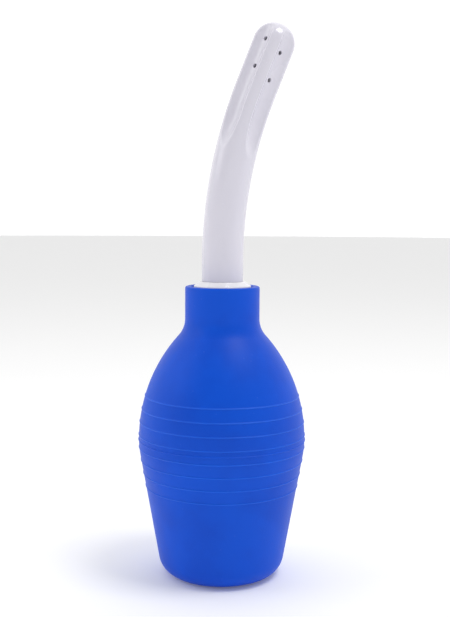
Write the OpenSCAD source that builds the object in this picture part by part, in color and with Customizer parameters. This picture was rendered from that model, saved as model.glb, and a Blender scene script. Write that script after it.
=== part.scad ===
// Squeeze bulb with a screw-in curved nozzle.
// Millimetres, +Z up. The origin is the centre of the flat base.
// The nozzle bends towards +X, and -Y is the front.

/* [Bulb] */
// Height from the base to the rim of the neck
bulb_h = 131.9; // [116:0.1:170]
// Largest diameter, without the parting ridge
bulb_d = 75.4; // [66:0.2:95]
// Height of the widest line
widest_z = 62.5; // [50:0.5:75]
// Diameter that the tapered side would have at the floor
base_d = 54.4; // [44:0.2:64]
// Radius of the curve from the widest line into the tapered side
waist_r = 41; // [20:1:60]
// Radius of the rounded bottom edge
base_corner_r = 9.5; // [5:0.5:13]
// Wall thickness of the body
bulb_wall = 2.8; // [1.6:0.1:4]

/* [Neck] */
// Height of the neck above the shoulder's arc
neck_h = 19.2; // [17:0.1:30]
// Radius of the hollow between shoulder and neck
neck_fillet_r = 11.5; // [5:0.5:14]
// Wall thickness of the neck
neck_wall = 3; // [2.4:0.1:4]
// Rounding of the rim's edges
rim_round_r = 0.9; // [0.3:0.1:1.1]

/* [Rings] */
// Number of raised rings round the body
ring_count = 8; // [3:1:10]
// Height of the lowest ring
ring_first_z = 41.3; // [34:0.1:48]
// Distance from ring to ring
ring_pitch = 5.9; // [3:0.1:6.5]
// Thickness of the bead that makes a ring
ring_bead_d = 1.1; // [0.6:0.1:2]
// How far a ring stands out of the wall
ring_proud = 0.35; // [0.2:0.05:0.5]
// How far the parting ridge stands out at the widest line
parting_proud = 0.25; // [0.1:0.05:0.5]

/* [Neck bush] */
// Height of the rigid bush inside the neck
bush_h = 13; // [11:0.5:15]
// Wall of the bush outside its thread
bush_wall = 2.4; // [1.6:0.1:4]
// How far the bush's top lies below the rim
bush_drop = 2.8; // [2.4:0.1:4]
// Gap between bush and neck
bush_gap = 0.1; // [0.05:0.01:0.25]
// Number of holding ribs round the bush
rib_count = 2; // [1:1:3]
// How far a rib stands out of the bush
rib_proud = 0.9; // [0.4:0.1:1.2]
// Width of a rib at its root
rib_w = 2.4; // [1.4:0.2:3]

/* [Thread] */
// Height of the thread's ridge
thread_depth = 1.1; // [0.7:0.1:1.3]
// Rise of the thread in one turn
thread_pitch = 4; // [3:0.1:6]
// Clearance between the two threads
thread_gap = 0.3; // [0.2:0.05:0.4]

/* [Screw plug and washer] */
// Length of the threaded stub below the flange
stub_h = 13; // [11:0.5:15]
// Wall of the stub between the spigot and the thread
stub_wall = 1.85; // [1.2:0.05:3]
// Gap between the flange and the neck
flange_gap = 0.9; // [0.4:0.1:1.5]
// Thickness of the flange at its edge
flange_edge_h = 1.5; // [1:0.1:2.5]
// Rise of the flange's cone up to the nozzle
flange_cone_h = 2; // [1:0.1:4]
// Thickness of the sealing washer
washer_h = 1.5; // [1:0.1:2]
// Gap between the washer and the plug's locating step
washer_gap = 0.1; // [0.05:0.01:0.2]

/* [Nozzle] */
// Outer diameter of the nozzle
nozzle_d = 18.6; // [15:0.1:23]
// Straight length above the plug
nozzle_straight_h = 9; // [1:0.1:20]
// Radius of the bend's centreline
bend_r = 209; // [150:1:300]
// Angle of the bend
bend_angle = 21.4; // [15:0.5:30]
// Length of the straight tip, with its dome
tip_len = 30; // [24:0.5:45]
// Wall at the dome's end
dome_wall = 2.2; // [1.5:0.1:4]
// Width of the shoulder that rests on the plug
shoulder_w = 1.3; // [0.8:0.1:2.5]
// Length of the spigot that is bonded into the plug
spigot_h = 12; // [8:0.5:13]
// Wall of the spigot, and so the size of the wide passage
spigot_wall = 1.7; // [1:0.1:3]
// Glue gap between spigot and plug
bond_gap = 0.05; // [0.02:0.01:0.1]

/* [Flutes and spray holes] */
// Number of flutes round the nozzle
flute_count = 4; // [2:1:4]
// Depth of a flute
flute_depth = 3.4; // [1.5:0.1:4]
// Radius of the flute's round section
flute_r = 5.2; // [3.5:0.1:6]
// Wall between a flute and the narrow passage
flute_wall = 1.7; // [1:0.1:3]
// How far the flutes reach down into the bend
flute_bend_angle = 3.4; // [1:0.1:8]
// Radius at which a flute curves outwards to its end
flute_runout_r = 40; // [25:1:70]
// Diameter of a spray hole
hole_d = 1.9; // [1:0.1:2.6]
// Spray holes in each flute
holes_per_flute = 2; // [1:1:2]
// Distance between the spray holes of a flute
hole_pitch = 12.6; // [8:0.1:14]
// Height of the top spray hole above the dome's centre
hole_top_z = 0.4; // [-3:0.1:1]
// How much lower the holes of every second flute lie
hole_stagger = 3.5; // [0:0.1:6]

/* [Hidden] */
$fn = 96;
eps = 0.01;

// From the nozzle outwards, each piece is sized by the one inside it.
nozzle_r = nozzle_d / 2;
spigot_r = nozzle_r - shoulder_w;
passage_r = spigot_r - spigot_wall;
core_r = spigot_r + bond_gap + stub_wall;
thread_r = core_r + thread_depth;
bush_r = thread_r + thread_gap + bush_wall;
neck_in_r = bush_r + bush_gap;
neck_r = neck_in_r + neck_wall;
flange_r = neck_in_r - flange_gap;
step_r = thread_r + 0.1;
washer_in_r = step_r + washer_gap;
washer_out_r = flange_r - 0.2;

bulb_r = bulb_d / 2;
base_r = base_d / 2;
// The tapered side is tangent to the curve below the widest line.
waist_dx = waist_r + base_r - bulb_r;
taper = atan2(widest_z, waist_dx) - acos(waist_r / sqrt(pow(widest_z, 2) + pow(waist_dx, 2)));
neck_foot_z = bulb_h - neck_h;

// The shoulder is one arc, upright at the widest line, that would meet the neck at its foot.
shoulder_drop = bulb_r - neck_r;
shoulder_rise = neck_foot_z - widest_z;
shoulder_r = (pow(shoulder_rise, 2) + pow(shoulder_drop, 2)) / (2 * shoulder_drop);
// The hollow is tangent to that arc and to the neck.
hollow_x = neck_r + neck_fillet_r;
hollow_dx = hollow_x - bulb_r + shoulder_r;
hollow_dz = sqrt(pow(shoulder_r + neck_fillet_r, 2) - pow(hollow_dx, 2));
hollow_z = widest_z + hollow_dz;
hollow_angle = atan2(hollow_dz, hollow_dx);

bush_top_z = bulb_h - bush_drop;
bush_foot_z = bush_top_z - bush_h;
rib_pitch = bush_h / (rib_count + 1);
flange_foot_z = bush_top_z + washer_h;
flange_top_z = flange_foot_z + flange_edge_h + flange_cone_h;
stub_foot_z = flange_foot_z - stub_h;

ridge_root_w = thread_pitch * 0.5;
ridge_crest_w = thread_pitch * 0.2;
ridge_step = 15;
thread_foot_z = stub_foot_z + ridge_root_w / 2 + 0.4;
thread_turns = (bush_top_z - ridge_root_w / 2 - thread_foot_z) / thread_pitch;

bend_foot_z = flange_top_z + nozzle_straight_h;
dome_z = tip_len - nozzle_r;
flute_floor_r = nozzle_r - flute_depth;
flute_axis_r = flute_floor_r + flute_r;
flute_first_angle = 180 / flute_count;
flute_end_angle = bend_angle - flute_bend_angle;
flute_runout_angle = acos(1 - (flute_depth + 1.5) / flute_runout_r);
tip_passage_r = flute_floor_r - flute_wall;
// The wide passage ends in a cone below the flutes.
passage_cone_h = 5;
passage_end_angle = flute_end_angle - 6.2;
// Where two stretches of the nozzle meet, one laps over the other and is this much larger in radius.
lap_h = 0.5;
lap_step = 0.02;
tip_bore_r = tip_passage_r + lap_step;

// Points of an arc from angle a0 to angle a1, in n steps.
function arc(cx, cz, r, a0, a1, n) =
    [for (i = [0:n]) let (a = a0 + (a1 - a0) * i / n) [cx + r * cos(a), cz + r * sin(a)]];

// The bulb's outline from the centre of its floor to the foot of the neck, moved inwards by t.
function bulb_outline(t, neck_t) =
    let (
        corner = base_corner_r - t,
        corner_x = base_r - t + base_corner_r * tan(taper) - corner / cos(taper)
    )
    concat(
        [[0, t]],
        arc(corner_x, base_corner_r, corner, -90, -taper, 8),
        arc(bulb_r - waist_r, widest_z, waist_r - t, -taper, -taper / 6, 5),
        arc(bulb_r - shoulder_r, widest_z, shoulder_r - t, 0, hollow_angle, 30),
        [for (p = arc(hollow_x, hollow_z, neck_fillet_r + t, 180 + hollow_angle, 180, 10))
            [max(p[0], neck_r - neck_t), p[1]]]
    );

// Radius of the outer wall at height z, below the hollow.
function wall_r(z) =
    z < widest_z - waist_r * sin(taper)
        ? base_r + z * tan(taper)
        : let (r = z < widest_z ? waist_r : shoulder_r)
            bulb_r - r + sqrt(pow(r, 2) - pow(z - widest_z, 2));

// One helical ridge as a polyhedron: its section runs from in_r to out_r, with a root and a crest width.
module helix_ridge(foot_z, from_turn, to_turn, in_r, out_r, root_w, crest_w, fade) {
    steps = ceil((to_turn - from_turn) * 360 / ridge_step);
    sections = [for (i = [0:steps])
        let (
            turn = from_turn + (to_turn - from_turn) * i / steps,
            a = turn * 360,
            z = foot_z + turn * thread_pitch,
            rise = fade ? min(1, 0.15 + min(i, steps - i) / 4) : 1,
            r = in_r + (out_r - in_r) * rise
        )
        each [for (p = [[in_r, -root_w / 2], [r, -crest_w / 2], [r, crest_w / 2], [in_r, root_w / 2]])
            [p[0] * cos(a), p[0] * sin(a), z + p[1]]]
    ];
    sides = [for (i = [0:steps - 1], k = [0:3])
        let (a = 4 * i + k, b = 4 * i + (k + 1) % 4)
        each [[a, b, b + 4], [a, b + 4, a + 4]]];
    last = 4 * steps;
    ends = [[0, 2, 1], [0, 3, 2], [last, last + 1, last + 2], [last, last + 2, last + 3]];
    polyhedron(points = sections, faces = concat(sides, ends));
}

// A ring of round section that stands out of the wall at height z.
module bead(z, proud) {
    rotate_extrude() translate([wall_r(z) + proud - ring_bead_d / 2, z]) circle(d = ring_bead_d, $fn = 24);
}

// Outline of the holding ribs, grown by gap all round.
module ribs_2d(gap) {
    for (i = [1:rib_count])
        translate([bush_r, bush_foot_z + i * rib_pitch])
            polygon([
                [-1, -rib_w / 2 - gap],
                [gap, -rib_w / 2 - gap],
                [rib_proud + gap, rib_w / 6 + gap],
                [rib_proud + gap, rib_w / 2 + gap],
                [-1, rib_w / 2 + gap]
            ]);
}

// Puts its children in the frame of the nozzle's centreline at an angle of the bend.
module at_bend(angle) {
    translate([bend_r * (1 - cos(angle)), 0, bend_foot_z + bend_r * sin(angle)])
        rotate([0, angle, 0])
            children();
}

// Sweeps its 2D children along the bend: their +X lies on the outer side and their +Y at the front.
module bend_sweep(from_angle, to_angle) {
    translate([bend_r, 0, bend_foot_z])
        rotate([90, 0, 0])
            rotate([0, 0, 180 - to_angle])
                rotate_extrude(angle = to_angle - from_angle)
                    translate([bend_r, 0])
                        children();
}

// One flute: its curved end, where the cutter swings out of the tube, then the bend, then the tip.
module flute(index) {
    azimuth = flute_first_angle + index * 360 / flute_count;
    at_bend(flute_end_angle)
        rotate([0, 0, azimuth - 90])
            translate([flute_axis_r + flute_runout_r, 0, 0])
                rotate([90, 0, 0])
                    rotate([0, 0, 178])
                        rotate_extrude(angle = flute_runout_angle + 2)
                            translate([flute_runout_r, 0])
                                circle(r = flute_r - 2.5 * lap_step);
    bend_sweep(flute_end_angle, bend_angle)
        rotate(azimuth) translate([0, flute_axis_r]) circle(r = flute_r);
    at_bend(bend_angle)
        rotate([0, 0, azimuth - 90])
            translate([flute_axis_r, 0, -lap_h])
                cylinder(r = flute_r + lap_step, h = tip_len + 5);
}

// The spray holes of one flute, numbered from 0.
module spray_holes(index) {
    drop = index % 2 == 0 ? hole_stagger : 0;
    at_bend(bend_angle)
        for (i = [0:holes_per_flute - 1])
            translate([0, 0, dome_z + hole_top_z - drop - i * hole_pitch])
                rotate([0, 0, flute_first_angle + index * 360 / flute_count - 90])
                    rotate([0, 90, 0])
                        cylinder(d = hole_d, h = nozzle_r + 1, $fn = 32);
}

// The soft one-piece bulb with its raised rings.
module squeeze_bulb() color([0.02, 0.2, 0.78]) difference() {
    union() {
        rotate_extrude() polygon(concat(
            bulb_outline(0, 0),
            arc(neck_r - rim_round_r, bulb_h - rim_round_r, rim_round_r, 0, 90, 5),
            arc(neck_in_r + rim_round_r, bulb_h - rim_round_r, rim_round_r, 90, 180, 5),
            [for (i = [0:len(bulb_outline(0, 0)) - 1])
                let (inner = bulb_outline(bulb_wall, neck_wall)) inner[len(inner) - 1 - i]]
        ));
        for (i = [0:ring_count - 1]) bead(ring_first_z + i * ring_pitch, ring_proud);
        bead(widest_z, parting_proud);
    }
    rotate_extrude() ribs_2d(bush_gap);
}

// The rigid bush that holds the thread inside the soft neck.
module neck_bush() color([0.93, 0.93, 0.95]) difference() {
    rotate_extrude() {
        translate([core_r + thread_gap, bush_foot_z]) square([bush_r - core_r - thread_gap, bush_h]);
        ribs_2d(0);
    }
    helix_ridge(
        thread_foot_z, -0.5, (bush_top_z - thread_foot_z) / thread_pitch + 0.5,
        core_r - 0.3, thread_r + thread_gap,
        ridge_root_w + 3 * thread_gap, ridge_crest_w + 2 * thread_gap, false);
}

// The flat washer that the flange presses on the bush.
module seal_washer() color([0.82, 0.84, 0.86]) translate([0, 0, bush_top_z]) difference() {
    cylinder(r = washer_out_r, h = washer_h);
    translate([0, 0, -eps]) cylinder(r = washer_in_r, h = washer_h + 2 * eps);
}

// The screw plug: cone flange, locating step for the washer, threaded stub and stepped bore.
module screw_plug() color([0.95, 0.95, 0.97]) difference() {
    union() {
        rotate_extrude() polygon([
            [0, stub_foot_z],
            [core_r - 0.5, stub_foot_z],
            [core_r, stub_foot_z + 0.5],
            [core_r, bush_top_z + 0.2],
            [step_r, bush_top_z + 0.2],
            [step_r, flange_foot_z],
            [flange_r, flange_foot_z],
            [flange_r, flange_foot_z + flange_edge_h],
            [nozzle_r + 0.5, flange_top_z],
            [0, flange_top_z]
        ]);
        helix_ridge(
            thread_foot_z, 0, thread_turns,
            core_r - 0.5, thread_r, ridge_root_w, ridge_crest_w, true);
    }
    translate([0, 0, stub_foot_z - 1]) cylinder(r = passage_r, h = stub_h + 2);
    translate([0, 0, flange_top_z - spigot_h]) cylinder(r = spigot_r + bond_gap, h = spigot_h + 1);
}

// The nozzle's outside before the flutes are cut: spigot, straight foot, bend, tip and dome.
module nozzle_skin() {
    translate([0, 0, flange_top_z - spigot_h]) cylinder(r = spigot_r, h = spigot_h);
    translate([0, 0, flange_top_z]) cylinder(r = nozzle_r + lap_step, h = nozzle_straight_h + lap_h);
    bend_sweep(0, bend_angle) circle(r = nozzle_r);
    at_bend(bend_angle)
        rotate_extrude() {
            translate([0, -lap_h]) square([nozzle_r + lap_step, dome_z + lap_h]);
            translate([0, dome_z]) intersection() {
                circle(r = nozzle_r + lap_step);
                square(nozzle_r + 1);
            }
        }
}

// The nozzle's inside: a wide bore and bend with a short cone at the end, then the narrow bend and bore of the tip.
module nozzle_passage() {
    translate([0, 0, flange_top_z - spigot_h - 1])
        cylinder(r = passage_r + lap_step, h = spigot_h + 1 + nozzle_straight_h + lap_h);
    bend_sweep(0, passage_end_angle) circle(r = passage_r);
    at_bend(passage_end_angle) cylinder(r1 = passage_r, r2 = tip_passage_r - 0.7, h = passage_cone_h);
    bend_sweep(passage_end_angle - 0.5, bend_angle) circle(r = tip_passage_r);
    at_bend(bend_angle)
        rotate_extrude() polygon(concat(
            [[0, -lap_h], [tip_bore_r, -lap_h]],
            arc(0, tip_len - dome_wall - tip_bore_r, tip_bore_r, 0, 90, 8)
        ));
}

// The curved nozzle with its spigot, flutes, inner passage and spray holes.
module nozzle_tube() color([0.9, 0.89, 0.94]) difference() {
    union() nozzle_skin();
    nozzle_passage();
    for (i = [0:flute_count - 1]) flute(i);
    for (i = [0:flute_count - 1]) spray_holes(i);
}

squeeze_bulb();
neck_bush();
seal_washer();
screw_plug();
nozzle_tube();
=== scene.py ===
"""Looks of the ringed squeeze bulb and its screw-in curved nozzle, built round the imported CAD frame."""
import math

import bpy
import numpy as np
from mathutils import Matrix, Vector


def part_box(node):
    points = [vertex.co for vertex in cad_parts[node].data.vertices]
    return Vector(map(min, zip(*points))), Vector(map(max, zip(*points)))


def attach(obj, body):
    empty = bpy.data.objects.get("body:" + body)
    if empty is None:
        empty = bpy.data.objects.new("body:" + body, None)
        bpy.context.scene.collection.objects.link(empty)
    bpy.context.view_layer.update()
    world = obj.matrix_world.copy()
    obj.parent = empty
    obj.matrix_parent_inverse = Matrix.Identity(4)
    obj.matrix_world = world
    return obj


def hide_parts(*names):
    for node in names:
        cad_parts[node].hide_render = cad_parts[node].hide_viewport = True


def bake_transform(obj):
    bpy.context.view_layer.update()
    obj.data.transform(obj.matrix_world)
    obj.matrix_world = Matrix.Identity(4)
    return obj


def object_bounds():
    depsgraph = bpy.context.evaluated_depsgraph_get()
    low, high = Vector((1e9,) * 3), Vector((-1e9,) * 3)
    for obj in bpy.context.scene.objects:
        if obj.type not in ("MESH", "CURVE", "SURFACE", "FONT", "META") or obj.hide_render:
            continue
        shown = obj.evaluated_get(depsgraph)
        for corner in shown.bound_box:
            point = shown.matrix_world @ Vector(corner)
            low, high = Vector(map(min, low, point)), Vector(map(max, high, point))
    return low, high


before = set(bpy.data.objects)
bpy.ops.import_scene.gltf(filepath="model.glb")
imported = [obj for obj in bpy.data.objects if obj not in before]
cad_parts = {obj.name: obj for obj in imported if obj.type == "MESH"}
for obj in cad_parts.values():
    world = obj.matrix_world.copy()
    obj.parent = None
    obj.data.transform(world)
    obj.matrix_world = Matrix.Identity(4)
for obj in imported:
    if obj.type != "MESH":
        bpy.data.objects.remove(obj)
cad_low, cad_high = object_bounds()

MM = 0.001
TAU = 2 * math.pi


def box_mm(node):
    """Lowest and highest corner of a CAD node, in millimetres."""
    low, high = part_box(node)
    return np.array(low) / MM, np.array(high) / MM


# ---- Sizes in millimetres. Heights come from the frame, and the rest are the values of the CAD model.
_, bulb_high = box_mm("squeeze_bulb")
bush_low, bush_high = box_mm("neck_bush")
washer_low, washer_high = box_mm("seal_washer")
plug_low, plug_high = box_mm("screw_plug")
nozzle_low, _ = box_mm("nozzle_tube")

RIM_Z = bulb_high[2]
BULB_R = 37.7
WIDEST_Z = 62.5
BASE_R = 27.2
WAIST_R = 41.0
BASE_CORNER_R = 9.5
BULB_WALL = 2.8
NECK_R = 16.8
NECK_IN_R = 13.8
NECK_FOOT_Z = RIM_Z - 19.2
HOLLOW_R = 11.5
RIM_ROUND_R = 0.9
RING_COUNT, RING_FIRST_Z, RING_PITCH = 8, 41.3, 5.9
RING_PROUD, RING_HALF_W, PARTING_PROUD, PARTING_HALF_W = 0.25, 0.45, 0.308, 0.35
FLOOR_RING_RADII = (0, 3, 6, 9, 12, 15, 17.5)
CAVITY_FLOOR_RING_RADII = (14, 8, 3, 0)
BODY_ROW_STEP, NECK_ROW_STEP = 0.8, 1.0
RING_ROWS = 15
# Width and strength of the painted highlight on the ring crests and on the parting line.
HIGHLIGHT_W_SHARE = 0.8
PARTING_HIGHLIGHT = 0.35

BUSH_R = 13.7
RIB_COUNT, RIB_PROUD, RIB_W = 2, 0.9, 2.4
RIB_GAP_ABOVE, RIB_GAP_BELOW = 0.1, 0.05
CORE_R, THREAD_R, THREAD_GAP, THREAD_PITCH = 9.9, 11.0, 0.3, 4.0
RIDGE_CREST_HALF, RIDGE_FOOT_HALF = 0.4, 0.8125
GROOVE_CREST_HALF, GROOVE_MOUTH_HALF = RIDGE_CREST_HALF + THREAD_GAP, 1.185
THREAD_ROW_STEP = 0.12
RIDGE_FADE_TURNS, GROOVE_FADE_TURNS = 0.16, 0.05
GROOVE_FIRST_TURN, GROOVE_LAST_TURN = -0.5, 4.0
THREAD_FOOT_Z = plug_low[2] + 1.4
THREAD_TURNS = (bush_high[2] - 1.0 - THREAD_FOOT_Z) / THREAD_PITCH

SPIGOT_R, SPIGOT_GAP, PASSAGE_R = 8.0, 0.05, 6.3
FLANGE_R = plug_high[0]
FLANGE_FOOT_Z = washer_high[2]
FLANGE_EDGE_H = 1.5

NOZZLE_R = 9.3
SPIGOT_FOOT_Z = nozzle_low[2]
SHOULDER_Z = plug_high[2]
BEND_FOOT_Z = SHOULDER_Z + 9.0
BEND_R = 209.0
BEND_ANGLE = math.radians(21.4)
TIP_LEN = 30.0
DOME_Z = TIP_LEN - NOZZLE_R
DOME_WALL = 2.2
FLUTE_COUNT = 4
FLUTE_R = 5.2
FLUTE_FLOOR_R = 5.9
FLUTE_AXIS_R = FLUTE_FLOOR_R + FLUTE_R
FLUTE_END_ANGLE = BEND_ANGLE - math.radians(3.4)
FLUTE_RUNOUT_R = 40.0
FLUTE_RUNOUT_RUN, FLUTE_RUNOUT_REACH = 25, 6
FLUTE_EDGE_ROUND = 0.9
TIP_PASSAGE_R = 4.2
PASSAGE_END_ANGLE = FLUTE_END_ANGLE - math.radians(6.2)
PASSAGE_CONE_H = 3.75
HOLE_R, HOLE_ROUND = 0.95, 0.22
HOLES_PER_FLUTE, HOLE_PITCH, HOLE_TOP_Z, HOLE_STAGGER = 2, 12.6, 0.4, 3.5
BEND_ROWS, TIP_ROWS, DOME_ROW_DEG = 130, 84, 2.0
HOLE_PATCH_ROWS, COLUMNS_PER_HOLE_PATCH = 7, 20


def columns(full):
    return full


# ---- Meshes
class Shell:
    """Collects the rings of one piece, in millimetres, and joins them with faces."""

    def __init__(self):
        self.points = []
        self.faces = []

    def add(self, points):
        first = len(self.points)
        self.points.extend(map(tuple, points))
        return list(range(first, len(self.points)))

    def skin(self, lower, upper):
        """Faces between two closed rings that look outwards when the rings run anticlockwise and upwards."""
        for j in range(len(lower)):
            k = (j + 1) % len(lower)
            self.faces.append((lower[j], lower[k], upper[k], upper[j]))

    def cap(self, ring, centre, upwards):
        middle = self.add([centre])[0]
        for j in range(len(ring)):
            k = (j + 1) % len(ring)
            self.faces.append((ring[j], ring[k], middle) if upwards else (ring[k], ring[j], middle))

    def build(self, name):
        mesh = bpy.data.meshes.new(name)
        mesh.from_pydata([tuple(c * MM for c in p) for p in self.points], [], self.faces)
        mesh.validate()
        mesh.shade_smooth()
        piece = bpy.data.objects.new(name, mesh)
        bpy.context.scene.collection.objects.link(piece)
        return piece


def smooth_max(a, b, k):
    """The larger of a and b, with the corner between them rounded over about k."""
    h = np.maximum(k - np.abs(a - b), 0) / k
    return np.maximum(a, b) + h * h * k / 4


def arc(cx, cz, r, a0, a1, steps):
    """Points of an arc in an outline, with angles in degrees."""
    return [(cx + r * math.cos(math.radians(a)), cz + r * math.sin(math.radians(a)))
            for a in np.linspace(a0, a1, steps + 1)]


def rounded(corners, steps=5):
    """An outline through corners (r, z, rounding radius), with each corner rounded."""
    outline = []
    for i, (r, z, radius) in enumerate(corners):
        if radius == 0 or i in (0, len(corners) - 1):
            outline.append((r, z))
            continue
        p = np.array((r, z))
        u = np.array(corners[i - 1][:2]) - p
        v = np.array(corners[i + 1][:2]) - p
        u, v = u / np.linalg.norm(u), v / np.linalg.norm(v)
        half = math.acos(max(-1, min(1, float(u @ v)))) / 2
        middle = p + (u + v) / np.linalg.norm(u + v) * radius / math.sin(half)
        start, end = p + u * radius / math.tan(half), p + v * radius / math.tan(half)
        for t in np.linspace(0, 1, steps + 1):
            d = (start - middle) * (1 - t) + (end - middle) * t
            outline.append(tuple(middle + d / np.linalg.norm(d) * radius))
    return outline


def lathe(shell, outline, columns, ripple=None):
    """Turns an outline round the axis. ripple(angles, z, index) may give a ring its own radii."""
    angles = np.arange(columns) * TAU / columns
    rings = []
    for index, (r, z) in enumerate(outline):
        if r < 1e-6:
            rings.append((0.0, z))
            continue
        radii = np.full(columns, float(r)) if ripple is None else ripple(angles, float(r), float(z), index)
        rings.append(shell.add(np.stack([radii * np.cos(angles), radii * np.sin(angles), np.full(columns, z)], 1)))
    return rings


def close_rings(shell, rings, loop):
    """Joins a lathe's rings. A ring on the axis is a point, and a loop joins its last ring to its first."""
    pairs = list(zip(rings, rings[1:])) + ([(rings[-1], rings[0])] if loop else [])
    for a, b in pairs:
        if isinstance(a, tuple):
            shell.cap(b, (0, 0, a[1]), False)
        elif isinstance(b, tuple):
            shell.cap(a, (0, 0, b[1]), True)
        else:
            shell.skin(a, b)


# ---- Squeeze bulb
WAIST_DX = WAIST_R + BASE_R - BULB_R
TAPER = math.atan2(WIDEST_Z, WAIST_DX) - math.acos(WAIST_R / math.hypot(WIDEST_Z, WAIST_DX))
SHOULDER_DROP, SHOULDER_RISE = BULB_R - NECK_R, NECK_FOOT_Z - WIDEST_Z
SHOULDER_R = (SHOULDER_RISE ** 2 + SHOULDER_DROP ** 2) / (2 * SHOULDER_DROP)
HOLLOW_X = NECK_R + HOLLOW_R
HOLLOW_DX = HOLLOW_X - BULB_R + SHOULDER_R
HOLLOW_DZ = math.sqrt((SHOULDER_R + HOLLOW_R) ** 2 - HOLLOW_DX ** 2)
HOLLOW_Z = WIDEST_Z + HOLLOW_DZ
HOLLOW_ANGLE = math.degrees(math.atan2(HOLLOW_DZ, HOLLOW_DX))


def wall_r(z):
    """Radius of the body's wall at height z, below the hollow."""
    if z < WIDEST_Z - WAIST_R * math.sin(TAPER):
        return BASE_R + z * math.tan(TAPER)
    r = WAIST_R if z < WIDEST_Z else SHOULDER_R
    return BULB_R - r + math.sqrt(r ** 2 - (z - WIDEST_Z) ** 2)


BEADS = [(RING_FIRST_Z + i * RING_PITCH, RING_PROUD, RING_HALF_W) for i in range(RING_COUNT)]
BEADS.append((WIDEST_Z, PARTING_PROUD, PARTING_HALF_W))


def bead_share(z, bead_z, half_w):
    """1 on the crest of a raised ring at bead_z and 0 beside it."""
    away = min(1, abs(z - bead_z) / half_w)
    return 0.5 + 0.5 * math.cos(math.pi * away)


def bulb_outline():
    """The bulb's section: its floor, body, neck and rim outside, then back down the inside to the cavity's floor."""
    corner_x = BASE_R + BASE_CORNER_R * math.tan(TAPER) - BASE_CORNER_R / math.cos(TAPER)
    outline = [(r, 0) for r in FLOOR_RING_RADII]
    outline += arc(corner_x, BASE_CORNER_R, BASE_CORNER_R, -90, -math.degrees(TAPER), 18)
    shoulder_top = HOLLOW_Z - HOLLOW_R * math.sin(math.radians(HOLLOW_ANGLE))
    heights = set(np.round(np.arange(outline[-1][1] + 1, shoulder_top - 0.5, BODY_ROW_STEP), 3))
    for bead_z, _, half_w in BEADS:
        heights |= set(np.round(bead_z + np.linspace(-half_w, half_w, RING_ROWS), 3))
    for z in sorted(heights):
        outline.append((wall_r(z) + max(proud * bead_share(z, b, w) for b, proud, w in BEADS), z))
    outline += arc(HOLLOW_X, HOLLOW_Z, HOLLOW_R, 180 + HOLLOW_ANGLE, 180, 16)
    outline += [(NECK_R, z) for z in np.arange(math.ceil(HOLLOW_Z) + 1, RIM_Z - 1.5, NECK_ROW_STEP)]
    outline += arc(NECK_R - RIM_ROUND_R, RIM_Z - RIM_ROUND_R, RIM_ROUND_R, 0, 90, 8)
    outline += arc(NECK_IN_R + RIM_ROUND_R, RIM_Z - RIM_ROUND_R, RIM_ROUND_R, 90, 180, 8)
    # The inside of the neck, with the grooves for the bush's ribs, then the body's inner wall and floor.
    rib_pitch = (bush_high[2] - bush_low[2]) / (RIB_COUNT + 1)
    for i in range(RIB_COUNT, 0, -1):
        z = bush_low[2] + i * rib_pitch
        outline += [(NECK_IN_R, z + RIB_W / 2 + RIB_GAP_ABOVE),
                    (NECK_IN_R + RIB_PROUD, z + RIB_W / 2 + RIB_GAP_ABOVE),
                    (NECK_IN_R + RIB_PROUD, z + RIB_W / 6 + RIB_GAP_ABOVE),
                    (NECK_IN_R, z - RIB_W / 2 - RIB_GAP_BELOW)]
    outline += arc(HOLLOW_X, HOLLOW_Z, HOLLOW_R + BULB_WALL, 180, 180 + HOLLOW_ANGLE, 16)
    outline += arc(BULB_R - SHOULDER_R, WIDEST_Z, SHOULDER_R - BULB_WALL, HOLLOW_ANGLE - 1, 0, 40)
    corner = BASE_CORNER_R - BULB_WALL
    inner_x = BASE_R - BULB_WALL + BASE_CORNER_R * math.tan(TAPER) - corner / math.cos(TAPER)
    foot = arc(inner_x, BASE_CORNER_R, corner, -math.degrees(TAPER), -90, 12)
    taper_deg = math.degrees(TAPER)
    waist = arc(BULB_R - WAIST_R, WIDEST_Z, WAIST_R - BULB_WALL, -taper_deg / 6, -taper_deg, 5)
    top, bottom = np.array(waist[-1]), np.array(foot[0])
    side = [tuple(top + (bottom - top) * t) for t in np.linspace(0, 1, 20)[1:-1]]
    outline += waist + side + foot + [(r, BULB_WALL) for r in CAVITY_FLOOR_RING_RADII]
    return outline


def crest_highlight_share(x, y, z):
    """How strongly a point of the bulb shows the painted highlight on a ring's crest. The parting line's painted
    highlight is weaker.
    """
    if z >= NECK_FOOT_Z or math.hypot(x, y) <= wall_r(z) - 0.5 * BULB_WALL:
        return 0.0
    *rings, (parting_z, _, parting_w) = BEADS
    marks = [bead_share(z, ring_z, HIGHLIGHT_W_SHARE * half_w) for ring_z, _, half_w in rings]
    return max(*marks, PARTING_HIGHLIGHT * bead_share(z, parting_z, parting_w))


def make_bulb():
    shell = Shell()
    close_rings(shell, lathe(shell, bulb_outline(), columns(256)), False)
    bulb = shell.build("squeeze_bulb_skin")
    # The painted highlight on the crests is marked on the mesh and not by height, so that the mark bends with the
    # bulb.
    crest = bulb.data.attributes.new("ring_crest_highlight", "FLOAT", "POINT")
    crest.data.foreach_set("value", [crest_highlight_share(*point) for point in shell.points])
    return bulb


# ---- Thread, shared by the plug's ridge and the bush's groove
def thread_reach(angles, z, crest_half, root_half, first_turn, last_turn, fade_turns):
    """0 on the flat between the turns and 1 on the thread's crest, at height z and each angle."""
    reach = np.zeros(len(angles))
    for k in range(-2, 6):
        turn = angles / TAU + k
        away = np.abs(z - THREAD_FOOT_Z - turn * THREAD_PITCH)
        section = np.clip((root_half - away) / (root_half - crest_half), 0, 1)
        inside = np.clip((turn - first_turn) / fade_turns, 0, 1) * np.clip((last_turn - turn) / fade_turns, 0, 1)
        reach = np.maximum(reach, section * inside)
    return reach


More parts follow.
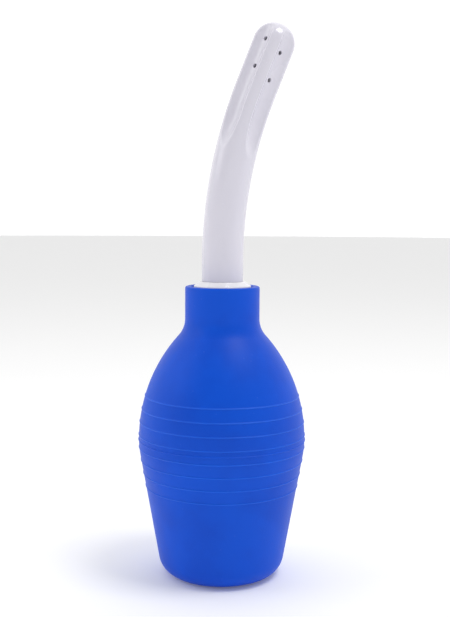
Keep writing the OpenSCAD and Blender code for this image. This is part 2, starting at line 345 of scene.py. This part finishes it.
# ---- Neck bush
def make_bush():
    foot, top = bush_low[2], bush_high[2]
    rib_pitch = (top - foot) / (RIB_COUNT + 1)
    corners = [(BUSH_R - 0.6, foot, 0), (BUSH_R, foot, 0.4)]
    for i in range(1, RIB_COUNT + 1):
        z = foot + i * rib_pitch
        corners += [(BUSH_R, z - RIB_W / 2, 0.15), (BUSH_R + RIB_PROUD, z + RIB_W / 6, 0.15),
                    (BUSH_R + RIB_PROUD, z + RIB_W / 2, 0.2), (BUSH_R, z + RIB_W / 2, 0.1)]
    minor_r = CORE_R + THREAD_GAP
    outline = rounded(corners + [(BUSH_R, top, 0.4), (BUSH_R - 0.8, top, 0)])
    wall_from = len(outline)
    outline += [(minor_r + 0.15, top)]
    outline += [(minor_r, z) for z in np.arange(top - 0.1, foot + 0.3, -THREAD_ROW_STEP)]
    wall_to = len(outline)
    outline += [(minor_r + 0.2, foot)]

    def groove(angles, r, z, index):
        if not wall_from <= index < wall_to:
            return np.full(len(angles), r)
        reach = thread_reach(angles, z, GROOVE_CREST_HALF, GROOVE_MOUTH_HALF,
                             GROOVE_FIRST_TURN, GROOVE_LAST_TURN, GROOVE_FADE_TURNS)
        return np.maximum(r, minor_r + reach * (THREAD_R - CORE_R))

    shell = Shell()
    close_rings(shell, lathe(shell, outline, columns(192), groove), True)
    return shell.build("neck_bush_body")


# ---- Seal washer
def make_washer():
    foot, top = washer_low[2], washer_high[2]
    inner_r, outer_r = THREAD_R + 0.2, washer_high[0]
    middle_r = (inner_r + outer_r) / 2
    outline = rounded([(middle_r, foot, 0), (outer_r, foot, 0.35), (outer_r, top, 0.35), (middle_r, top, 0),
                       (inner_r, top, 0), (inner_r, foot, 0)])
    shell = Shell()
    close_rings(shell, lathe(shell, outline, 160), True)
    return shell.build("seal_washer_ring")


# ---- Screw plug
def make_plug():
    foot = plug_low[2]
    step_z, step_r = bush_high[2] + 0.2, THREAD_R + 0.1
    outline = rounded([(PASSAGE_R + 0.6, foot, 0), (CORE_R - 0.5, foot, 0.1),
                       (CORE_R, foot + 0.5, 0.1), (CORE_R, foot + 0.75, 0)])
    wall_from = len(outline)
    outline += [(CORE_R, z) for z in np.arange(foot + 0.85, step_z - 0.1, THREAD_ROW_STEP)]
    wall_to = len(outline)
    cone_top_r, spigot_bore_r = NOZZLE_R + 0.5, SPIGOT_R + SPIGOT_GAP
    outline += rounded([
        (CORE_R, step_z - 0.06, 0), (CORE_R, step_z, 0.04), (step_r, step_z, 0.1), (step_r, FLANGE_FOOT_Z, 0.05),
        (FLANGE_R, FLANGE_FOOT_Z, 0.25), (FLANGE_R, FLANGE_FOOT_Z + FLANGE_EDGE_H, 0.5),
        (cone_top_r, SHOULDER_Z, 0.2), (spigot_bore_r + 0.3, SHOULDER_Z, 0)], 6)
    outline += [(spigot_bore_r, SHOULDER_Z - 0.25), (spigot_bore_r, SHOULDER_Z - 6),
                (spigot_bore_r, SPIGOT_FOOT_Z), (PASSAGE_R, SPIGOT_FOOT_Z),
                (PASSAGE_R, foot + 3), (PASSAGE_R, foot + 0.3)]

    def ridge(angles, r, z, index):
        if not wall_from <= index < wall_to:
            return np.full(len(angles), r)
        reach = thread_reach(angles, z, RIDGE_CREST_HALF, RIDGE_FOOT_HALF, 0, THREAD_TURNS, RIDGE_FADE_TURNS)
        return r + reach * (THREAD_R - CORE_R)

    shell = Shell()
    close_rings(shell, lathe(shell, outline, columns(192), ridge), True)
    return shell.build("screw_plug_body")


# ---- Nozzle
def bend_frame(angle):
    """Point on the nozzle's centreline at an angle of the bend, with the frame's x and z directions there."""
    flat, up = math.cos(angle), math.sin(angle)
    origin = np.array((BEND_R * (1 - flat), 0, BEND_FOOT_Z + BEND_R * up))
    return origin, np.array((flat, 0, -up)), np.array((up, 0, flat))


def nozzle_stations():
    """The nozzle's cross-sections from its foot to the dome.

    Each has its frame, its outer and inner radius, how far its flutes' axes have moved out and sideways
    (None below the flutes), and how steeply its rays rise, which is only in the dome.
    """
    stations = []

    def upright(z, outer, inner):
        up = np.array((0.0, 0, 1))
        stations.append(dict(origin=np.array((0.0, 0, z)), x=np.array((1.0, 0, 0)), z=up,
                             outer=outer, inner=inner, flute=None, rise=0.0))

    upright(SPIGOT_FOOT_Z, SPIGOT_R - 0.3, PASSAGE_R)
    upright(SPIGOT_FOOT_Z + 0.3, SPIGOT_R, PASSAGE_R)
    for z in np.linspace(SPIGOT_FOOT_Z + 1, SHOULDER_Z - 0.01, 12):
        upright(z, SPIGOT_R, PASSAGE_R)
    upright(SHOULDER_Z, SPIGOT_R + 0.05, PASSAGE_R)
    upright(SHOULDER_Z + 0.005, NOZZLE_R - 0.2, PASSAGE_R)
    upright(SHOULDER_Z + 0.06, NOZZLE_R - 0.06, PASSAGE_R)
    upright(SHOULDER_Z + 0.2, NOZZLE_R, PASSAGE_R)
    for z in np.linspace(SHOULDER_Z + 0.8, BEND_FOOT_Z - 0.6, 12):
        upright(z, NOZZLE_R, PASSAGE_R)
    for angle in np.linspace(0, BEND_ANGLE, BEND_ROWS)[:-1]:
        origin, x, z = bend_frame(angle)
        below = FLUTE_END_ANGLE - angle
        flute = (0.0, 0.0)
        if below > 0:
            run = BEND_R * math.sin(below)
            flute = None
            if run < FLUTE_RUNOUT_RUN:
                reach = FLUTE_RUNOUT_R - math.sqrt(FLUTE_RUNOUT_R ** 2 - run ** 2)
                if reach <= FLUTE_RUNOUT_REACH:
                    flute = (reach, BEND_R * (1 - math.cos(below)))
        past = (angle - PASSAGE_END_ANGLE) * BEND_R / PASSAGE_CONE_H
        inner = PASSAGE_R + (TIP_PASSAGE_R - PASSAGE_R) * min(1, max(0, past))
        stations.append(dict(origin=origin, x=x, z=z, outer=NOZZLE_R, inner=inner, flute=flute, rise=0.0))
    origin, x, z = bend_frame(BEND_ANGLE)
    for h in np.linspace(0, DOME_Z, TIP_ROWS):
        stations.append(dict(origin=origin + z * h, x=x, z=z, outer=NOZZLE_R, inner=TIP_PASSAGE_R,
                             flute=(0.0, 0.0), rise=0.0, height=h))
    for rise in np.radians(np.arange(DOME_ROW_DEG, 90, DOME_ROW_DEG)):
        stations.append(dict(origin=origin + z * DOME_Z, x=x, z=z, outer=NOZZLE_R, inner=TIP_PASSAGE_R,
                             flute=(0.0, 0.0), rise=rise, height=DOME_Z))
    return stations


def solve(inside, most, shape):
    """Distance along each ray at which inside(distance) turns positive."""
    low, high = np.zeros(shape), np.full(shape, most)
    for _ in range(34):
        middle = (low + high) / 2
        out = inside(middle) > 0
        low, high = np.where(out, low, middle), np.where(out, middle, high)
    return (low + high) / 2


def section_points(station, azimuths):
    """Points of the outer and of the inner wall on one cross-section."""
    flat, up = math.cos(station["rise"]), math.sin(station["rise"])
    ray = np.stack([np.sin(azimuths) * flat, -np.cos(azimuths) * flat], 1)

    def outside(s):
        p = ray * s[:, None]
        depth = s - station["outer"]
        if station["flute"] is not None:
            reach, lean = station["flute"]
            for i in range(FLUTE_COUNT):
                a = (i + 0.5) * TAU / FLUTE_COUNT
                axis_r = FLUTE_AXIS_R + reach
                centre = np.array((axis_r * math.sin(a) - lean, -axis_r * math.cos(a)))
                depth = smooth_max(depth, FLUTE_R - np.linalg.norm(p - centre, axis=1), FLUTE_EDGE_ROUND)
        return depth

    def bore(s):
        end = TIP_LEN - DOME_WALL - TIP_PASSAGE_R - DOME_Z
        over = np.maximum(s * up - end, 0) if up > 0 else 0 * s
        return np.hypot(s * flat, over) - station["inner"]

    def placed(s):
        p = ray * s[:, None]
        return (station["origin"] + p[:, :1] * station["x"] + p[:, 1:] * np.array((0.0, 1, 0))
                + (s * up)[:, None] * station["z"])

    n = len(azimuths)
    return placed(solve(outside, station["outer"] + 0.6, n)), placed(solve(bore, TIP_LEN, n))


def make_nozzle():
    count = columns(384)
    azimuths = np.arange(count) * TAU / count
    stations = nozzle_stations()
    outer, inner = [], []
    shell = Shell()
    for station in stations:
        a, b = section_points(station, azimuths)
        outer.append(shell.add(a))
        inner.append(shell.add(b))
    origin, tip_x, tip_z = bend_frame(BEND_ANGLE)
    # A patch of cells is left open in both walls at each hole, centred on the cross-section nearest to the hole.
    patch_columns, patch_rows = count // COLUMNS_PER_HOLE_PATCH, HOLE_PATCH_ROWS
    below_tip = -1e3
    heights = [s["height"] + FLUTE_FLOOR_R * math.tan(s["rise"]) if "height" in s else below_tip for s in stations]
    open_cells = set()
    holes = []
    for i in range(FLUTE_COUNT):
        middle = round((i + 0.5) * count / FLUTE_COUNT)
        azimuth = (i + 0.5) * TAU / FLUTE_COUNT
        drop = HOLE_STAGGER if i % 2 == 0 else 0
        for k in range(HOLES_PER_FLUTE):
            z = DOME_Z + HOLE_TOP_Z - drop - k * HOLE_PITCH
            row = min(range(len(stations)), key=lambda n: abs(heights[n] - z))
            holes.append((azimuth, z, row, middle))
            open_cells |= {(row + r, (middle + c) % count)
                           for r in range(-patch_rows, patch_rows) for c in range(-patch_columns, patch_columns)}

    for row in range(len(stations) - 1):
        for j in range(count):
            if (row, j) in open_cells:
                continue
            k = (j + 1) % count
            shell.faces.append((outer[row][j], outer[row][k], outer[row + 1][k], outer[row + 1][j]))
            shell.faces.append((inner[row][k], inner[row][j], inner[row + 1][j], inner[row + 1][k]))
    shell.skin(inner[0], outer[0])
    shell.cap(outer[-1], tuple(origin + tip_z * TIP_LEN), True)
    shell.cap(inner[-1], tuple(origin + tip_z * (TIP_LEN - DOME_WALL)), False)

    for azimuth, hole_z, row, middle in holes:
        radial = tip_x * math.sin(azimuth) + np.array((0.0, -1, 0)) * math.cos(azimuth)
        across = tip_x * math.cos(azimuth) + np.array((0.0, 1, 0)) * math.sin(azimuth)
        edge = ([(row - patch_rows, middle + c) for c in range(-patch_columns, patch_columns)]
                + [(row + r, middle + patch_columns) for r in range(-patch_rows, patch_rows)]
                + [(row + patch_rows, middle + c) for c in range(patch_columns, -patch_columns, -1)]
                + [(row + r, middle - patch_columns) for r in range(patch_rows, -patch_rows, -1)])
        start = origin + tip_z * hole_z

        def flat_place(index):
            """Place of a point of the mesh across and along the flute, from the hole's axis."""
            p = np.array(shell.points[index]) - start
            return np.array((p @ across, p @ tip_z))

        outer_edge = [outer[r][c % count] for r, c in edge]
        inner_edge = [inner[r][c % count] for r, c in edge]
        outer_flat = np.array([flat_place(v) for v in outer_edge])
        inner_flat = np.array([flat_place(v) for v in inner_edge])
        angle = np.arctan2(outer_flat[:, 1], outer_flat[:, 0])
        circle = np.stack([np.cos(angle), np.sin(angle)], 1)

        def on_flute(flat, depth=0.0):
            out = FLUTE_AXIS_R - np.sqrt(FLUTE_R ** 2 - flat[:, :1] ** 2) - depth
            return start + out * radial + flat[:, :1] * across + flat[:, 1:] * tip_z

        def on_bore(flat):
            out = np.sqrt(TIP_PASSAGE_R ** 2 - flat[:, :1] ** 2)
            return start + out * radial + flat[:, :1] * across + flat[:, 1:] * tip_z

        # From the patch's edge over the rounded lip, down the hole, and out over the passage's wall.
        rings = [outer_edge]
        lip = circle * (HOLE_R + HOLE_ROUND)
        for t in (0.3, 0.6, 0.85):
            rings.append(shell.add(on_flute(outer_flat * (1 - t) + lip * t)))
        for b in np.radians((0, 18, 36, 54, 72, 90)):
            rings.append(shell.add(on_flute(circle * (HOLE_R + HOLE_ROUND * (1 - math.sin(b))),
                                            HOLE_ROUND * (1 - math.cos(b)))))
        rings.append(shell.add(on_bore(circle * HOLE_R)))
        for t in (0.4, 0.7):
            rings.append(shell.add(on_bore(circle * HOLE_R * (1 - t) + inner_flat * t)))
        rings.append(inner_edge)
        for a, b in zip(rings, rings[1:]):
            shell.skin(a, b)
    return shell.build("nozzle_tube_body")


# ---- Materials
class Value:
    """A socket of a node tree, with arithmetic."""

    def __init__(self, nodes, socket):
        self.nodes, self.socket = nodes, socket

    def __add__(self, other):
        return self.nodes.math("ADD", self, other)

    def __sub__(self, other):
        return self.nodes.math("SUBTRACT", self, other)

    def __rsub__(self, other):
        return self.nodes.math("SUBTRACT", other, self)

    def __mul__(self, other):
        return self.nodes.math("MULTIPLY", self, other)

    __radd__ = __add__
    __rmul__ = __mul__

    def clamp(self, low=0.0, high=1.0):
        return self.nodes.math("MINIMUM", self.nodes.math("MAXIMUM", self, low), high)

    def ramp(self, low, high, start=0.0, end=1.0):
        """From start at low to end at high, with a soft step between them."""
        return self.nodes.node("ShaderNodeMapRange", {"interpolation_type": "SMOOTHSTEP"}, {
            "Value": self, "From Min": low, "From Max": high, "To Min": start, "To Max": end})


class Nodes:
    """A node tree, and the two ways in which nodes are added to it."""

    def __init__(self, tree):
        self.tree = tree

    def node(self, kind, settings, sockets, output=0):
        made = self.tree.nodes.new(kind)
        for key, value in settings.items():
            setattr(made, key, value)
        for key, value in sockets.items():
            if isinstance(value, Value):
                self.tree.links.new(value.socket, made.inputs[key])
            else:
                made.inputs[key].default_value = value
        return Value(self, made.outputs[output])

    def math(self, operation, *values):
        return self.node("ShaderNodeMath", {"operation": operation}, dict(enumerate(values)))


class Look(Nodes):
    """One material, with its shader and the nodes that feed it."""

    def __init__(self, name, **constants):
        self.material = bpy.data.materials.new(name)
        self.material.use_nodes = True
        super().__init__(self.material.node_tree)
        self.tree.nodes.clear()
        self.shader = self.tree.nodes.new("ShaderNodeBsdfPrincipled")
        output = self.tree.nodes.new("ShaderNodeOutputMaterial")
        self.tree.links.new(self.shader.outputs[0], output.inputs[0])
        for key, value in constants.items():
            self.shader.inputs[key.replace("_", " ")].default_value = value
        self.place = self.node("ShaderNodeTexCoord", {}, {}, "Object")

    def noise(self, size_mm, detail=2.0, roughness=0.5, stretch=(1, 1, 1)):
        """Noise from 0 to 1 with features of about this size."""
        at = self.node("ShaderNodeVectorMath", {"operation": "MULTIPLY"}, {0: self.place, 1: stretch})
        return self.node("ShaderNodeTexNoise", {}, {"Vector": at, "Scale": 1 / (size_mm * MM), "Detail": detail,
                                                    "Roughness": roughness})

    def spots(self, size_mm):
        """Distance to the nearest of scattered points, in cells of about this size."""
        return self.node("ShaderNodeTexVoronoi", {}, {"Vector": self.place, "Scale": 1 / (size_mm * MM)})

    def mix(self, factor, a, b):
        """Colour a where factor is 0 and colour b where it is 1."""
        return self.node("ShaderNodeMix", {"data_type": "RGBA"}, {0: factor, 6: a, 7: b}, 2)

    def bump(self, height, depth_mm, below=None):
        """Relief of this depth, on top of the bump below it."""
        sockets = {"Height": height, "Distance": depth_mm * MM, "Strength": 1.0}
        if below is not None:
            sockets["Normal"] = below
        return self.node("ShaderNodeBump", {}, sockets)

    def finish(self, **varying):
        """Feeds the shader's inputs with what changes over the surface."""
        for key, value in varying.items():
            self.tree.links.new(value.socket, self.shader.inputs[key.replace("_", " ")])
        return self.material


def bulb_rubber():
    """Soft matte blue rubber with a fine grain, faint clouds in its colour, a little dust and a painted highlight on
    the rings' crests.
    """
    look = Look("bulb_rubber", IOR=1.5, Specular_IOR_Level=0.18)
    cloud = look.noise(26, 3, 0.55)
    grain = look.noise(0.5, 2, 0.6)
    fine = look.noise(0.16, 1, 0.5)
    dust = look.spots(2.6).ramp(0.16, 0.06) * look.noise(9, 2).ramp(0.55, 0.75)
    colour = look.mix(cloud.ramp(0.35, 0.65), (0.0, 0.064, 0.58, 1), (0.0, 0.080, 0.66, 1))
    colour = look.mix((grain - 0.5) * 0.5 + 0.2, colour, (0.001, 0.10, 0.70, 1))
    # Painted highlight: the crests of the rings, and faintly the parting line, are painted a paler blue.
    crest = look.node("ShaderNodeAttribute", {"attribute_name": "ring_crest_highlight"}, {}, "Fac")
    colour = look.mix(crest * (0.55 + (cloud - 0.5) * 0.5), colour, (0.02, 0.16, 0.83, 1))
    colour = look.mix(dust * 0.12, colour, (0.25, 0.38, 0.85, 1))
    roughness = 0.46 + (cloud - 0.5) * 0.14 + (grain - 0.5) * 0.18 + dust * 0.2
    normal = look.bump(fine, 0.012, look.bump(grain, 0.03))
    return look.finish(Base_Color=colour, Roughness=roughness.clamp(0.3, 0.8), Normal=normal)


def moulded_plastic(name, pale, deep, roughness, coat):
    """Glossy moulded plastic with faint flow marks, a slight orange peel and fine handling scuffs."""
    look = Look(name, IOR=1.49, Coat_Roughness=0.08, Coat_IOR=1.5)
    cloud = look.noise(18, 3, 0.5)
    flow = look.noise(5, 2, 0.5, (1, 1, 0.12))
    peel = look.noise(1.6, 2, 0.5)
    scuff = look.noise(0.35, 2, 0.6, (1, 1, 0.25)).ramp(0.62, 0.75) * look.noise(11, 2).ramp(0.5, 0.7)
    colour = look.mix(cloud * 0.6 + flow * 0.4, deep, pale)
    colour = look.mix(scuff * 0.10, colour, tuple(c * 0.9 for c in deep[:3]) + (1,))
    rough = roughness + (cloud - 0.5) * 0.12 + (flow - 0.5) * 0.06 + scuff * 0.16
    normal = look.bump(scuff, 0.004, look.bump(peel, 0.012))
    return look.finish(Base_Color=colour, Roughness=rough.clamp(0.08, 0.7),
                       Coat_Weight=(coat - scuff * 0.2).clamp(0, 1), Normal=normal)


def washer_rubber():
    """Matte grey rubber with a fine grain."""
    look = Look("washer_rubber", IOR=1.5, Specular_IOR_Level=0.4)
    cloud, grain = look.noise(7, 3, 0.6), look.noise(0.35, 2, 0.6)
    colour = look.mix(cloud * 0.7 + grain * 0.3, (0.40, 0.41, 0.43, 1), (0.52, 0.53, 0.56, 1))
    return look.finish(Base_Color=colour, Roughness=(0.62 + (grain - 0.5) * 0.2).clamp(0.3, 0.9),
                       Normal=look.bump(grain, 0.015))


def floor_paint():
    """Plain matte white with very faint clouds."""
    look = Look("floor_paint", Roughness=0.9, Specular_IOR_Level=0.1, Emission_Strength=0.08,
                Emission_Color=(1, 1, 1, 1))
    soft = look.noise(60, 2, 0.5)
    return look.finish(Base_Color=look.mix(soft, (0.955, 0.955, 0.955, 1), (0.97, 0.97, 0.97, 1)))


# ---- The object
def dress(piece, material, slot, *nodes):
    piece.data.materials.append(material)
    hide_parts(*nodes)
    return piece


BUSH_PALE, BUSH_DEEP = (0.62, 0.61, 0.64, 1), (0.55, 0.545, 0.58, 1)
PLUG_PALE, PLUG_DEEP = (0.86, 0.85, 0.88, 1), (0.80, 0.79, 0.84, 1)
NOZZLE_PALE, NOZZLE_DEEP = (0.76, 0.74, 0.82, 1), (0.70, 0.68, 0.775, 1)

bulb = dress(make_bulb(), bulb_rubber(), "bulb_rubber", "squeeze_bulb")
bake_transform(bulb)
bush = dress(make_bush(), moulded_plastic("bush_plastic", BUSH_PALE, BUSH_DEEP, roughness=0.42, coat=0.0),
             "bush_plastic", "neck_bush")
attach(bush, "neck_fitting")
washer = dress(make_washer(), washer_rubber(), "washer_rubber", "seal_washer")
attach(washer, "seal")
plug = dress(make_plug(), moulded_plastic("plug_plastic", PLUG_PALE, PLUG_DEEP, roughness=0.28, coat=0.3),
             "plug_plastic", "screw_plug")
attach(plug, "nozzle")
nozzle = dress(make_nozzle(), moulded_plastic("nozzle_plastic", NOZZLE_PALE, NOZZLE_DEEP, roughness=0.24, coat=0.4),
               "nozzle_plastic", "nozzle_tube")
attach(nozzle, "nozzle")


# ---- Studio
FLOOR_RADII = (6000, 1500, 400, 100)
FLOOR_COLUMNS = 64
SKY_FRONT, SKY_BACK = 0.34, 1.10
CAMERA_PLACE = (0.0012, -0.4463, 0.1659)
CAMERA_DOWN, CAMERA_ROLL = math.radians(5.651), math.radians(0.3)


def make_floor():
    shell = Shell()
    angles = np.arange(FLOOR_COLUMNS) * TAU / FLOOR_COLUMNS
    rings = [shell.add([(r * math.cos(a), r * math.sin(a), 0) for a in angles]) for r in FLOOR_RADII]
    close_rings(shell, rings, False)
    shell.cap(rings[-1], (0, 0, 0), True)
    floor = shell.build("floor")
    floor.data.materials.append(floor_paint())


def area_light(name, at, size, power):
    """A soft square light that faces the middle of the object."""
    light = bpy.data.lights.new(name, "AREA")
    light.size, light.energy = size, power
    lamp = bpy.data.objects.new(name, light)
    bpy.context.scene.collection.objects.link(lamp)
    lamp.location = at
    middle = (cad_low + cad_high) / 2
    lamp.rotation_euler = (middle - Vector(at)).to_track_quat("-Z", "Y").to_euler()


def make_sky():
    """White behind the object and along the horizon, and dimmer in front of it."""
    world = bpy.data.worlds.new("studio")
    bpy.context.scene.world = world
    world.use_nodes = True
    sky = Nodes(world.node_tree)
    background = world.node_tree.nodes["Background"]
    background.inputs["Color"].default_value = (1, 1, 1, 1)
    towards = sky.node("ShaderNodeTexCoord", {}, {}, "Generated")
    backwards = sky.node("ShaderNodeSeparateXYZ", {}, {0: towards}, "Y")
    steepness = sky.math("ABSOLUTE", sky.node("ShaderNodeSeparateXYZ", {}, {0: towards}, "Z"))
    behind = backwards.ramp(-0.75, 0.6, SKY_FRONT, SKY_BACK)
    horizon = steepness.ramp(0.25, 0.06, 0.0, SKY_BACK)
    sky.tree.links.new(sky.math("MAXIMUM", behind, horizon).socket, background.inputs["Strength"])


make_floor()
area_light("key_light", (0.42, -0.22, 1.12), size=0.40, power=4.4)
area_light("side_light", (-0.80, -0.15, 0.60), size=0.5, power=1.2)
make_sky()
bpy.context.scene.view_settings.view_transform = "Standard"

camera_data = bpy.data.cameras.new("camera")
camera = bpy.data.objects.new("camera", camera_data)
bpy.context.scene.collection.objects.link(camera)
camera_data.lens = 57.98
camera_data.sensor_width = 36.0
camera_data.clip_start, camera_data.clip_end = 0.01, 20.0
camera.matrix_world = (Matrix.Translation(CAMERA_PLACE)
                       @ Matrix.Rotation(math.pi / 2 - CAMERA_DOWN, 4, "X")
                       @ Matrix.Rotation(CAMERA_ROLL, 4, "Z"))
bpy.context.scene.camera = camera
